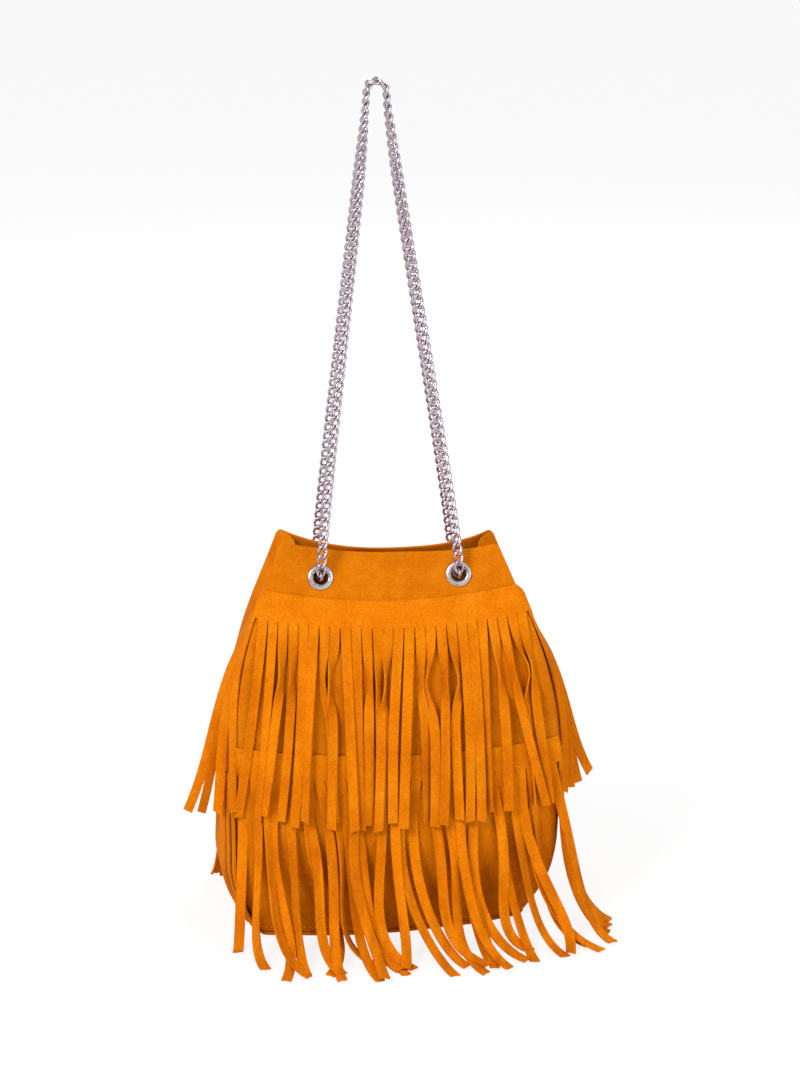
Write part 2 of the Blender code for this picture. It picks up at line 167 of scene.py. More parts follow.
LEATHER = 0.0018
BAG_HEIGHT = 0.3065
BELLY_HEIGHT = 0.062
SHOULDER_HEIGHT = 0.205
BAG_BOTTOM = 0.0027
FRONT_SAG = 0.0125
BACK_SAG = 0.017
RIGHT_DROOP = 0.005
HOLE_RADIUS = 0.0066
EYELET_HEIGHT = BAG_HEIGHT - 0.0285
EYELET_SPACING = 0.106


def hermite(start, start_slope, end, end_slope, span, share):
    rest = 1 - share
    return (
        start * (1 + 2 * share) * rest**2 + start_slope * span * share * rest**2
        + end * share**2 * (3 - 2 * share) - end_slope * span * share**2 * rest
    )


def loft(height, base, belly, shoulder, mouth):
    """A size at a height, from its values at the base, the belly, the shoulder and the mouth."""
    if height < BELLY_HEIGHT:
        return base + (belly - base) * math.sin(math.pi / 2 * height / BELLY_HEIGHT)
    low, high = SHOULDER_HEIGHT - BELLY_HEIGHT, BAG_HEIGHT - SHOULDER_HEIGHT
    mouth_slope = (mouth - shoulder) / high
    shoulder_slope = ((shoulder - belly) / low + mouth_slope) / 2
    if height < SHOULDER_HEIGHT:
        return hermite(belly, 0, shoulder, shoulder_slope, low, (height - BELLY_HEIGHT) / low)
    share = (height - SHOULDER_HEIGHT) / high
    return hermite(shoulder, shoulder_slope, mouth, mouth_slope, high, share)


def seam_width(height):
    return loft(height, 0.102, 0.124, 0.1178, 0.0825)


def seam_depth(height):
    return loft(height, 0.047, 0.060, 0.047, 0.020)


def settle(point, side):
    """A point of the straight bag as it lies: the body turns and leans below the eyelets."""
    rise = point.z / BAG_HEIGHT
    turn = math.radians(6) * max(1 - point.z / EYELET_HEIGHT, 0) ** 2
    lean = 0.0035 * rise + 0.005 * math.sin(math.pi * rise)
    x, y = side * point.x, side * point.y
    return Vector((
        x * math.cos(turn) - y * math.sin(turn) + lean,
        x * math.sin(turn) + y * math.cos(turn),
        point.z,
    ))


def smooth(share):
    share = min(max(share, 0), 1)
    return share * share * (3 - 2 * share)


def panel_face(across, height):
    """A point on the front panel's outer face. across runs from -1 at the left seam to 1."""
    depth = seam_depth(height) + loft(height, 0.015, 0.016, 0.007, -0.013) * (1 - across**2)
    soft = smooth((0.25 - height) / 0.03) * smooth((1 - abs(across)) / 0.25)
    ripple = noise.noise(Vector((across * 2.4, height * 11, 3.7)))
    depth += 0.0022 * soft * ripple
    depth -= 0.0011 * smooth((abs(across) - 0.965) / 0.035)
    return Vector((across * seam_width(height), -depth, height))


def normal_of(surface, first, height):
    step = 1e-4
    across = surface(first + step, height) - surface(first - step, height)
    up = surface(first, height + step) - surface(first, height - step)
    return across.cross(up).normalized()


def proud_of(surface, first, height, distance):
    return surface(first, height) + normal_of(surface, first, height) * distance


def corner_cut(inward):
    """What the rounded corner takes off the rim, this far in from the seam."""
    return 0.0045 - math.sqrt(0.0045**2 - max(0.0045 - inward, 0) ** 2)


def front_rim(across):
    cut = corner_cut((1 - abs(across)) * seam_width(BAG_HEIGHT))
    return BAG_HEIGHT - FRONT_SAG * (1 - across**2) - cut - RIGHT_DROOP * smooth(across)


def back_rim(across):
    cut = corner_cut((1 - abs(across)) * seam_width(BAG_HEIGHT))
    return BAG_HEIGHT - BACK_SAG * (1 - across**2) - cut - RIGHT_DROOP * smooth(-across)


def new_object(name, points, faces, material, slot, body):
    """A mesh object that rides on a body and takes its finish from a slot."""
    mesh = bpy.data.meshes.new(name)
    mesh.from_pydata([tuple(point) for point in points], [], faces)
    mesh.shade_smooth()
    piece = bpy.data.objects.new(name, mesh)
    piece.data.materials.append(material)
    bpy.context.scene.collection.objects.link(piece)
    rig.ride(piece, body)
    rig.slot(piece, slot)
    return piece


def settle_piece(piece, side):
    """Moves a piece that was built straight to where it lies: side is -1 for the back."""
    for point in piece.data.vertices:
        point.co = settle(point.co, side)


def surface_grid(surface, columns, rows, bottom, top_at):
    points, faces = [], []
    for row in range(rows + 1):
        for column in range(columns + 1):
            first = 2 * column / columns - 1
            points.append(surface(first, bottom + (top_at(first) - bottom) * row / rows))
    for row in range(rows):
        for column in range(columns):
            corner = row * (columns + 1) + column
            faces.append((corner, corner + 1, corner + columns + 2, corner + columns + 1))
    return points, faces


def thicken(piece, thickness, offset, bevel):
    """Gives a sheet its thickness, and softens its cut edge."""
    solidify = piece.modifiers.new("thickness", "SOLIDIFY")
    solidify.thickness = thickness
    solidify.offset = offset
    solidify.use_even_offset = True
    if bevel:
        edge = piece.modifiers.new("edge", "BEVEL")
        edge.width = bevel
        edge.segments = 2
        edge.limit_method = "ANGLE"
        edge.angle_limit = math.radians(50)


def suede(name, shade, streaks, calm):
    """Napped suede: cloudy, with short fibres, and brushed in streaks below the calm height. Painted shade darkens its
    hollows and the gaps between parts.
    """
    material = bpy.data.materials.new(name)
    material.use_nodes = True
    nodes = material.node_tree.nodes
    links = material.node_tree.links
    shader = nodes["Principled BSDF"]
    shader.inputs["Roughness"].default_value = 0.95
    shader.inputs["Specular IOR Level"].default_value = 0.05
    shader.inputs["Sheen Weight"].default_value = 0.07
    shader.inputs["Sheen Roughness"].default_value = 0.45
    shader.inputs["Sheen Tint"].default_value = (1.0, 0.55, 0.15, 1)
    place = nodes.new("ShaderNodeTexCoord")
    cloud = nodes.new("ShaderNodeTexNoise")
    cloud.inputs["Scale"].default_value = 34
    cloud.inputs["Detail"].default_value = 7
    cloud.inputs["Roughness"].default_value = 0.68
    links.new(place.outputs["Object"], cloud.inputs["Vector"])
    tone = nodes.new("ShaderNodeValToRGB")
    tone.color_ramp.elements[0].position = 0.28
    tone.color_ramp.elements[0].color = (0.72 * shade, 0.168 * shade, 0.0008, 1)
    tone.color_ramp.elements[1].position = 0.74
    tone.color_ramp.elements[1].color = (0.93 * shade, 0.292 * shade, 0.005, 1)
    middle = tone.color_ramp.elements.new(0.5)
    middle.color = (0.84 * shade, 0.224 * shade, 0.0015, 1)
    links.new(cloud.outputs["Fac"], tone.inputs["Fac"])
    fibre = nodes.new("ShaderNodeTexNoise")
    fibre.inputs["Scale"].default_value = 850
    fibre.inputs["Detail"].default_value = 4
    fibre.inputs["Roughness"].default_value = 0.7
    links.new(place.outputs["Object"], fibre.inputs["Vector"])
    speck = nodes.new("ShaderNodeValToRGB")
    speck.color_ramp.elements[0].position = 0.34
    speck.color_ramp.elements[0].color = (0.66, 0.58, 0.50, 1)
    speck.color_ramp.elements[1].position = 0.62
    speck.color_ramp.elements[1].color = (1, 1, 1, 1)
    links.new(fibre.outputs["Fac"], speck.inputs["Fac"])
    colour = nodes.new("ShaderNodeMix")
    colour.data_type = "RGBA"
    colour.blend_type = "MULTIPLY"
    colour.inputs["Factor"].default_value = 0.75
    links.new(tone.outputs["Color"], colour.inputs["A"])
    links.new(speck.outputs["Color"], colour.inputs["B"])
    stretch = nodes.new("ShaderNodeMapping")
    stretch.inputs["Scale"].default_value = (120, 30, 9)
    links.new(place.outputs["Object"], stretch.inputs["Vector"])
    streak = nodes.new("ShaderNodeTexNoise")
    streak.inputs["Scale"].default_value = 1
    streak.inputs["Detail"].default_value = 3
    links.new(stretch.outputs["Vector"], streak.inputs["Vector"])
    nap = nodes.new("ShaderNodeValToRGB")
    nap.color_ramp.elements[0].position = 0.36
    nap.color_ramp.elements[0].color = (1 - 0.30 * streaks, 1 - 0.36 * streaks, 1 - 0.40 * streaks, 1)
    nap.color_ramp.elements[1].position = 0.60
    nap.color_ramp.elements[1].color = (1, 1, 1, 1)
    links.new(streak.outputs["Fac"], nap.inputs["Fac"])
    brushed = nodes.new("ShaderNodeMix")
    brushed.data_type = "RGBA"
    brushed.blend_type = "MULTIPLY"
    level = nodes.new("ShaderNodeSeparateXYZ")
    links.new(place.outputs["Object"], level.inputs["Vector"])
    below = nodes.new("ShaderNodeMapRange")
    below.inputs["From Min"].default_value = calm - 0.008
    below.inputs["From Max"].default_value = calm
    below.inputs["To Min"].default_value = 1
    below.inputs["To Max"].default_value = 0
    links.new(level.outputs["Z"], below.inputs["Value"])
    links.new(below.outputs["Result"], brushed.inputs["Factor"])
    links.new(colour.outputs["Result"], brushed.inputs["A"])
    links.new(nap.outputs["Color"], brushed.inputs["B"])
    # Painted shade: ambient occlusion darkens the base colour in hollows and in the gaps between strips.
    painted_shade_occlusion = nodes.new("ShaderNodeAmbientOcclusion")
    painted_shade_occlusion.samples = 8
    painted_shade_occlusion.inputs["Distance"].default_value = 0.007
    deep = nodes.new("ShaderNodeValToRGB")
    deep.color_ramp.elements[0].position = 0.12
    deep.color_ramp.elements[0].color = (0.62, 0.49, 0.40, 1)
    deep.color_ramp.elements[1].position = 0.50
    deep.color_ramp.elements[1].color = (1, 1, 1, 1)
    links.new(painted_shade_occlusion.outputs["AO"], deep.inputs["Fac"])
    shaded = nodes.new("ShaderNodeMix")
    shaded.data_type = "RGBA"
    shaded.blend_type = "MULTIPLY"
    shaded.inputs["Factor"].default_value = 1
    links.new(brushed.outputs["Result"], shaded.inputs["A"])
    links.new(deep.outputs["Color"], shaded.inputs["B"])
    links.new(shaded.outputs["Result"], shader.inputs["Base Color"])
    coarse = nodes.new("ShaderNodeBump")
    coarse.inputs["Strength"].default_value = 0.35
    coarse.inputs["Distance"].default_value = 0.0012
    links.new(cloud.outputs["Fac"], coarse.inputs["Height"])
    fine = nodes.new("ShaderNodeBump")
    fine.inputs["Strength"].default_value = 0.55
    fine.inputs["Distance"].default_value = 0.0003
    links.new(fibre.outputs["Fac"], fine.inputs["Height"])
    links.new(coarse.outputs["Normal"], fine.inputs["Normal"])
    links.new(fine.outputs["Normal"], shader.inputs["Normal"])
    return material


def punch(mesh, centre, radius):
    """Opens a round hole in a sheet: the nearest ring of points moves out to its edge."""
    shape = bmesh.new()
    shape.from_mesh(mesh)
    inside = [point for point in shape.verts if (point.co - centre).length < radius]
    bmesh.ops.delete(shape, geom=inside, context="VERTS")
    for point in shape.verts:
        if point.is_boundary and (point.co - centre).length < 2 * radius:
            point.co = centre + (point.co - centre).normalized() * radius
    shape.to_mesh(mesh)
    shape.free()


body_suede = suede("body_suede", 0.80, 0.2, 0.24)
for word, side, rim in (("front", 1, front_rim), ("back", -1, back_rim)):
    points, faces = surface_grid(panel_face, 120, 150, BAG_BOTTOM, rim)
    panel = new_object(word + "_panel_suede", points, faces, body_suede, "suede", "bag")
    for hand in (-1, 1):
        across = hand * EYELET_SPACING / 2 / seam_width(EYELET_HEIGHT)
        punch(panel.data, panel_face(across, EYELET_HEIGHT), HOLE_RADIUS)
    settle_piece(panel, side)
    thicken(panel, LEATHER, -1, 0.0005)
    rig.replaces(panel, word + "_panel")


# ---------------------------------------------------------------- side gussets
# Tapering sides of the same suede, sewn between the two panels. They stand out at the
# belly and fold inwards at the mouth, where the chain draws the bag shut.

GUSSET_DIP = 0.016


def gusset_face(along, height):
    """A point on the right gusset's outer face. along runs from -1 at the front to 1."""
    bulge = loft(height, 0.009, 0.011, 0.004, -0.019)
    fold = math.atan2(max(-2 * bulge, 0), seam_depth(height))
    depth = seam_depth(height) - LEATHER * (1 + math.sin(fold)) - 0.0006
    soft = smooth((1 - abs(along)) / 0.4) * smooth(height / 0.05)
    crease = 0.0025 * soft * noise.noise(Vector((along * 1.3, height * 9, 8.1)))
    side = seam_width(height) + bulge * (1 - along**2) + crease
    return Vector((side, along * depth, height))


def gusset_top(along):
    cut = corner_cut((1 - abs(along)) * seam_depth(BAG_HEIGHT))
    return BAG_HEIGHT - GUSSET_DIP * (1.01 - math.hypot(along, 0.14)) - cut


for word, side in (("right", 1), ("left", -1)):
    droop = RIGHT_DROOP if side > 0 else 0
    points, faces = surface_grid(
        gusset_face, 48, 120, BAG_BOTTOM, lambda along: gusset_top(along) - droop
    )
    gusset = new_object("gusset_" + word + "_suede", points, faces, body_suede, "suede", "bag")
    settle_piece(gusset, side)
    thicken(gusset, LEATHER, -1, 0.0005)
    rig.replaces(gusset, "gusset_" + word)


# ---------------------------------------------------------------- base panel
# A flat oval of the same suede, on which the bag stands. Its edge is cut flush with the
# body's bottom edge, and a line of thread runs round just above it.

BASE_THICKNESS = 0.0024
base_suede = suede("base_suede_nap", 0.74, 0, 0)
outline = []
for column in range(96):
    spot = panel_face(2 * column / 96 - 1, BASE_THICKNESS)
    outline.append(Vector((spot.x, spot.y - 0.0010, 0)))
for column in range(1, 40):
    spot = gusset_face(2 * column / 40 - 1, BASE_THICKNESS)
    outline.append(Vector((spot.x + 0.0010, spot.y, 0)))
outline += [-spot for spot in outline]
points = []
for inset, height in ((0.0006, 0), (0, 0.0006), (0, BASE_THICKNESS - 0.0006), (0.0006, BASE_THICKNESS)):
    for spot in outline:
        points.append(spot - spot.normalized() * inset + Vector((0, 0, height)))
count = len(outline)
faces = [tuple(range(count))[::-1], tuple(range(3 * count, 4 * count))]
for ring in range(3):
    for index in range(count):
        following = (index + 1) % count
        low, high = ring * count, (ring + 1) * count
        faces.append((low + index, low + following, high + following, high + index))
base = new_object("base_suede_panel", points, faces, base_suede, "base_suede", "bag")
settle_piece(base, 1)
base.data.set_sharp_from_angle(angle=math.radians(40))
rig.replaces(base, "base_panel")


# ---------------------------------------------------------------- thread
# Orange thread, sewn through the suede: round the bottom edge, and two lines on each
# fringe header. Each stitch dips into the leather at its ends.


def stitch_run(path, pitch, length, radius):
    """Points and faces of stitches along a path of (point, outward normal)."""
    reach = [0.0]
    for first, second in zip(path, path[1:]):
        reach.append(reach[-1] + (second[0] - first[0]).length)
    count = int(reach[-1] / pitch)
    points, faces = [], []
    span = 0
    for stitch in range(count):
        centre_at = (stitch + 0.5) * reach[-1] / count
        while reach[span + 1] < centre_at:
            span += 1
        share = (centre_at - reach[span]) / (reach[span + 1] - reach[span])
        centre = path[span][0].lerp(path[span + 1][0], share)
        out = path[span][1]
        along = (path[span + 1][0] - path[span][0]).normalized()
        side = along.cross(out)
        start = len(points)
        for at, lift, size in ((-0.5, -0.9, 0.5), (-0.32, 0.15, 1), (0, 0.45, 1.1), (0.32, 0.15, 1), (0.5, -0.9, 0.5)):
            for corner in range(6):
                angle = math.pi * corner / 3
                ring = out * math.cos(angle) + side * math.sin(angle)
                points.append(centre + along * at * length + out * lift * radius + ring * size * radius)
        for ring in range(4):
            for corner in range(6):
                here = start + ring * 6
                following = (corner + 1) % 6
                faces.append((here + corner, here + following, here + 6 + following, here + 6 + corner))
        faces.append(tuple(start + corner for corner in range(6))[::-1])
        faces.append(tuple(start + 24 + corner for corner in range(6)))
    return points, faces


thread = bpy.data.materials.new("thread")
thread.use_nodes = True
shader = thread.node_tree.nodes["Principled BSDF"]
shader.inputs["Base Color"].default_value = (0.80, 0.25, 0.006, 1)
shader.inputs["Roughness"].default_value = 0.9
shader.inputs["Specular IOR Level"].default_value = 0.08
strand = thread.node_tree.nodes.new("ShaderNodeTexNoise")
strand.inputs["Scale"].default_value = 2200
ply = thread.node_tree.nodes.new("ShaderNodeBump")
ply.inputs["Strength"].default_value = 0.5
ply.inputs["Distance"].default_value = 0.0002
thread.node_tree.links.new(strand.outputs["Fac"], ply.inputs["Height"])
thread.node_tree.links.new(ply.outputs["Normal"], shader.inputs["Normal"])

BASE_SEAM = 0.0075
path = []
for step in range(241):
    across = 2 * step / 240 - 1
    path.append((panel_face(across, BASE_SEAM), normal_of(panel_face, across, BASE_SEAM)))
for step in range(1, 80):
    along = 2 * step / 80 - 1
    path.append((gusset_face(along, BASE_SEAM), normal_of(gusset_face, along, BASE_SEAM)))
half_turn = Matrix.Rotation(math.pi, 3, "Z")
path += [(half_turn @ spot, half_turn @ out) for spot, out in path]
points, faces = stitch_run(path, 0.0042, 0.0032, 0.00035)
seam = new_object("base_seam_thread", points, faces, thread, "suede", "bag")
settle_piece(seam, 1)


# ---------------------------------------------------------------- fringe rows
# Each row is one piece of suede 1.4 mm thick: a header 20 mm deep, sewn to the panel with
# two lines of thread, and the strips cut into it. The upper strips hang over the belly and
# fan out at the left; the lower ones reach the floor and sweep out over it.

FRINGE_THICKNESS = 0.0014
FRINGE_HEADER = 0.020
FRINGE_REACH = 0.985
FRINGE_STAND = 0.0004
UPPER_TOP = EYELET_HEIGHT - 0.0145 + FRONT_SAG * (1 - (EYELET_SPACING / 2 / 0.0825) ** 2)
LOWER_TOP = UPPER_TOP - 0.1165
SLIT = 0.0005


def header_spot(across, level, top):
    """A point on a header's inner face: on the panel, and past its edge round the seam.

    Past the panel's edge the header is cut down to a narrow strip along the strips' roots.
    """
    flat = min(max(across, -FRINGE_REACH), FRINGE_REACH)
    past = (abs(across) - FRINGE_REACH) * seam_width(level)
    root = top - FRINGE_HEADER
    level = root + (level - root) * (1 - 0.82 * smooth(past / 0.011))
    height = level - FRONT_SAG * (1 - flat**2) * level / BAG_HEIGHT
    height -= 0.009 * smooth(past / 0.020)
    spot = proud_of(panel_face, flat, height, FRINGE_STAND)
    if past > 0:
        hand = math.copysign(1, across)
        angle = min(past / 0.004, 1.4)
        rest = past - 0.004 * angle
        spot.y += 0.004 * (1 - math.cos(angle)) + rest * math.sin(angle)
        skin = gusset_face(max(spot.y / seam_depth(height), -1), height).x + FRINGE_STAND
        clear = max(hand * spot.x + 0.004 * math.sin(angle) - skin, 0)
        spot.x = hand * (skin + clear * math.exp(-rest / 0.004))
    return spot


def hangs_beside(height, y):
    """How far out a strip has to be to clear the gusset at this height."""
    return gusset_face(min(max(y / seam_depth(height), -1), 1), height).x + 0.0018


def upper_strip(across, strip, strips, side, chance):
    """The way one upper strip hangs: its place, its twist and its heading at a share of it."""
    start = header_spot(across, UPPER_TOP - FRINGE_HEADER, UPPER_TOP)
    hand = math.copysign(1, across)
    length = 0.1463 + chance.uniform(-0.004, 0.003)
    twist = math.radians(chance.gauss(0, 14))
    if not 0 <= strip < strips:
        away = -1 - strip if hand < 0 else strip - strips
        forward = 0.012
        if hand < 0:
            flare, power = (0.001, 0.007, 0.016, 0.023)[away], 3
            forward = (0.030, 0.020, 0.014, 0.012)[away]
        else:
            flare, power = (0.001, 0.004, 0.011, 0.019)[away], 4
            length -= (0, 0.003, 0.008, 0.016)[away]
        lift = chance.uniform(0.0004, 0.0018)
        curl = math.radians(chance.uniform(-25, 25))

        def side_place(share):
            height = start.z - length * share
            y = start.y - forward * share
            out = hangs_beside(height, y) + lift * share**0.5 + flare * share**power
            return Vector((hand * out, y, height))

        return side_place, lambda share: curl * share, lambda share: hand * 1.4 * (1 - smooth(share * 1.3))

    sway = -0.030 * across**4 if across < 0 else 0.034 * across**3
    sway += chance.gauss(0, 0.0028)
    sway += 0.011 * noise.noise(Vector((strip * 0.41, 1.5 * side, 0)))
    if abs(across) < 0.8 and chance.random() < 0.16:
        sway += chance.uniform(0.008, 0.018)
    bow = chance.gauss(0, 0.0018)
    lift = 0.0036 + 0.0016 * (strip % 3) + chance.uniform(0, 0.0006)
    pinch = squeeze = 0
    if noise.noise(Vector((strip * 0.35, 4.2 * side, 0))) > -0.12:
        pinch = chance.choice((-1, 1)) * math.radians(chance.uniform(50, 86))
        squeeze = 0.010 * noise.noise(Vector((strip * 0.6, 9.2 * side, 0)))
    if chance.random() < 0.12:
        twist = chance.choice((-1, 1)) * math.radians(chance.uniform(40, 70))

    def place(share):
        height = start.z - length * share
        near_top = math.exp(-(((share - 0.27) / 0.13) ** 2))
        aside = start.x - 0.006 * share + sway * share**1.1
        aside += bow * math.sin(math.pi * share) + squeeze * near_top
        face = panel_face(min(max(aside / seam_width(height), -1), 1), height)
        return Vector((aside, face.y - FRINGE_STAND - lift * share**0.55, height))

    def turn(share):
        return pinch * math.exp(-(((share - 0.27) / 0.13) ** 2)) + twist * smooth(share / 0.9)

    return place, turn, lambda share: 0


def lower_strip(across, strip, strips, side, chance):
    """The way one lower strip hangs: down past the belly, and out over the floor."""
    start = header_spot(across, LOWER_TOP - FRINGE_HEADER, LOWER_TOP)
    hand = math.copysign(1, across)
    floor = 0.0006 + 0.0014 * (strip % 3)
    run = 0.074 * (1 + chance.gauss(0, 0.09))
    sweep = math.radians(12 + 6 * across + 16 * smooth((across - 0.5) / 0.5) + chance.gauss(0, 7))
    face = 0
    if not 0 <= strip < strips:
        face = hand * 1.4
        run, sweep = (0.055, math.radians(40)) if hand > 0 else (0, face)
        floor += 0 if run else 0.003
    elif strip == 0 and side > 0:
        run, sweep = 0.022, math.radians(-22)
    elif side < 0:
        run *= 1 - 0.8 * smooth((across - 0.45) / 0.45)
    belly, bend = chance.gauss(0, 0.0050), chance.gauss(0, 0.0034)
    belly += 0.008 * noise.noise(Vector((strip * 0.4, 5.5 * side, 0)))
    twist = math.radians(chance.gauss(0, 30))
    bend *= min(run / 0.05, 1)
    twist *= min(run / 0.05, 1)
    if face or (strip == 0 and side > 0):
        belly, bend, twist = -0.001, 0, 0.2 * twist

    def place(share):
        angle = math.pi / 2 * share
        out = run * (1 - math.cos(angle))
        fall = math.sin(angle) if run else share
        height = floor + (start.z - floor) * (1 - fall)
        x = start.x + out * math.sin(sweep) + belly * math.sin(math.pi * share)
        x += bend * math.sin(2 * math.pi * share)
        y = start.y - out * math.cos(sweep) - 0.002 * math.sin(math.pi * share) * (strip % 3)
        if face:
            beside = hangs_beside(height, y)
            x = hand * (max(hand * x, beside) if run else beside)
        return Vector((x, y, height))

    def turn(share):
        return twist * math.sin(math.pi * share)

    return place, turn, lambda share: face + (sweep - face) * smooth(2 * share)


def fringe_row(top, strips, wrap, way, side, seed, segments):
    """The header and its strips as one sheet, a slit between each two strips."""
    chance = random.Random(seed)
    total = strips + 2 * wrap
    reach = FRINGE_REACH * total / strips
    levels = (top, top - 0.0012, top - 0.0024, top - 0.0036, top - 0.008, top - 0.013,
              top - 0.0164, top - 0.0176, top - 0.0188, top - FRINGE_HEADER)
    points, faces, area = [], [], 0
    for level in levels:
        for strip in range(total):
            for part in (0, 0.5, 1):
                across = reach * (2 * (strip + part) / total - 1)
                across += SLIT * (0.5 - part) / 0.105
                spot = header_spot(across, level, top)
                if level in (levels[2], levels[7]):
                    spot -= normal_of(lambda first, height: header_spot(first, height, top), across, level) * 0.00025
                points.append(spot)
    columns = 3 * total
    for row in range(len(levels) - 1):
        for column in range(columns - 1):
            upper, lower = row * columns + column, (row + 1) * columns + column
            faces.append((lower, lower + 1, upper + 1, upper))
    for strip in range(total):
        above = [(len(levels) - 1) * columns + 3 * strip + part for part in range(3)]
        across = reach * (2 * (strip + 0.5) / total - 1)
        full = (points[above[2]] - points[above[0]]).length
        place, turn, heading = way(across, strip - wrap, strips, side, chance)
        origin = place(0)
        root = (points[above[0]] + points[above[2]]) / 2
        slant = chance.uniform(-0.0014, 0.0014)
        curl = chance.uniform(-0.0006, 0.0008)
        for segment in range(1, segments + 1):
            share = segment / segments
            centre = place(share) + (root - origin) * max(1 - share * 4, 0)
            down = (place(min(share + 0.01, 1)) - place(min(share + 0.01, 1) - 0.02)).normalized()
            level = Vector((math.cos(heading(share)), math.sin(heading(share)), 0))
            sideways = (level - down * level.dot(down)).normalized()
            out = down.cross(sideways)
            angle = turn(share)
            sideways = sideways * math.cos(angle) + out * math.sin(angle)
            out = down.cross(sideways)
            width = full * (1 - 0.02 * min(share * 5, 1))
            tip = down * slant if segment == segments else Vector()
            start = len(points)
            points.append(centre - sideways * width / 2 - tip)
            points.append(centre + out * curl * min(share * 3, 1))
            points.append(centre + sideways * width / 2 + tip)
            below = list(range(start, start + 3))
            faces.append((below[0], below[1], above[1], above[0]))
            faces.append((below[1], below[2], above[2], above[1]))
            above = below
    for face in faces:
        corners = [points[index] for index in face]
        area += (corners[2] - corners[0]).cross(corners[3] - corners[1]).length / 2
    return points, faces, area


fringe_suede = suede("fringe_suede", 0.90, 0.35, UPPER_TOP - FRINGE_HEADER - 0.008)
lower_suede = suede("lower_fringe_suede", 0.93, 0.75, LOWER_TOP - FRINGE_HEADER - 0.008)
rows = (
    ("lower", LOWER_TOP, 30, lower_strip, lower_suede, 0.180, 22),
    ("upper", UPPER_TOP, 26, upper_strip, fringe_suede, 0.166, 20),
)
for level, top, strips, way, material, deep, segments in rows:
    for word, side, seed, wrap in (("front", 1, 11, 4), ("back", -1, 52, 0)):
        points, faces, area = fringe_row(top, strips, wrap, way, side, seed + strips, segments)
        fringe = new_object("fringe_%s_%s_suede" % (word, level), points, faces, material, "suede", "bag")
        stitches, stitch_faces = [], []
        for below_top in (0.0024, 0.0176):
            path = []
            for step in range(161):
                across = FRINGE_REACH * 0.995 * (2 * step / 160 - 1)
                out = normal_of(panel_face, across, top - below_top)
                path.append((header_spot(across, top - below_top, top) + out * (FRINGE_THICKNESS - 0.0001), out))
            more, more_faces = stitch_run(path, 0.0036, 0.0027, 0.00032)
            shift = len(stitches)
            stitches += more
            stitch_faces += [tuple(index + shift for index in face) for face in more_faces]
        sewn = new_object("fringe_%s_%s_thread" % (word, level), stitches, stitch_faces, thread, "suede", "bag")
        settle_piece(fringe, side)
        settle_piece(sewn, side)
        thicken(fringe, FRINGE_THICKNESS, 1, 0)
        fringe.modifiers.new("crisp_cut", "EDGE_SPLIT").split_angle = math.radians(48)
        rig.replaces(fringe, "fringe_%s_%s" % (word, level))
        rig.sheet(
            fringe, flat=(area / deep, deep), held="hung",
            rests_on=[word + "_panel_suede", "gusset_left_suede", "gusset_right_suede"],
            with_pieces=["fringe_%s_%s_thread" % (word, level)],
        )


# ---------------------------------------------------------------- eyelets and washers
# Pressed, nickel plated steel. The flange and its barrel are one piece, pushed through the
# leather from outside and rolled over a flat washer inside.

EYELET_BORE = 0.0055
EYELET_FLANGE = 0.0100
EYELET_WALL = 0.0007
EYELET_CROWN = 0.0016


def nickel(name, colour, roughness):
    """Bright nickel plating with fine wear, a little cloudy."""
    material = bpy.data.materials.new(name)
    material.use_nodes = True
    nodes = material.node_tree.nodes
    links = material.node_tree.links
    shader = nodes["Principled BSDF"]
    shader.inputs["Metallic"].default_value = 1
    place = nodes.new("ShaderNodeTexCoord")
    cloud = nodes.new("ShaderNodeTexNoise")
    cloud.inputs["Scale"].default_value = 260
    cloud.inputs["Detail"].default_value = 4
    links.new(place.outputs["Object"], cloud.inputs["Vector"])
    tone = nodes.new("ShaderNodeValToRGB")
    tone.color_ramp.elements[0].position = 0.3
    tone.color_ramp.elements[0].color = tuple(part * 0.78 for part in colour) + (1,)
    tone.color_ramp.elements[1].position = 0.7
    tone.color_ramp.elements[1].color = colour + (1,)
    links.new(cloud.outputs["Fac"], tone.inputs["Fac"])
    links.new(tone.outputs["Color"], shader.inputs["Base Color"])
    wear = nodes.new("ShaderNodeMapRange")
    wear.inputs["To Min"].default_value = roughness * 0.7
    wear.inputs["To Max"].default_value = roughness * 1.4
    links.new(cloud.outputs["Fac"], wear.inputs["Value"])
    links.new(wear.outputs["Result"], shader.inputs["Roughness"])
    scratch = nodes.new("ShaderNodeBump")
    scratch.inputs["Strength"].default_value = 0.12
    scratch.inputs["Distance"].default_value = 0.0002
    links.new(cloud.outputs["Fac"], scratch.inputs["Height"])
    links.new(scratch.outputs["Normal"], shader.inputs["Normal"])
    return material


def turned_ring(profile, frame_of, sides):
    """A ring with this closed profile of (radius, height) points, about the frame's Z axis."""
    points, faces = [], []
    count = len(profile)
    for step in range(sides):
        angle = 2 * math.pi * step / sides
        for radius, height in profile:
            points.append(frame_of @ Vector((radius * math.cos(angle), radius * math.sin(angle), height)))
    for step in range(sides):
        here, there = step * count, (step + 1) % sides * count
        for index in range(count):
            following = (index + 1) % count
            faces.append((here + index, here + following, there + following, there + index))
    return points, faces


def eyelet_seat(hand, side):
    """Where an eyelet sits on a panel's outer face, and the way it faces."""
    across = hand * EYELET_SPACING / 2 / seam_width(EYELET_HEIGHT)

    def skin(first, height):
        return settle(panel_face(first, height), side)

    return skin(across, EYELET_HEIGHT), normal_of(skin, across, EYELET_HEIGHT)


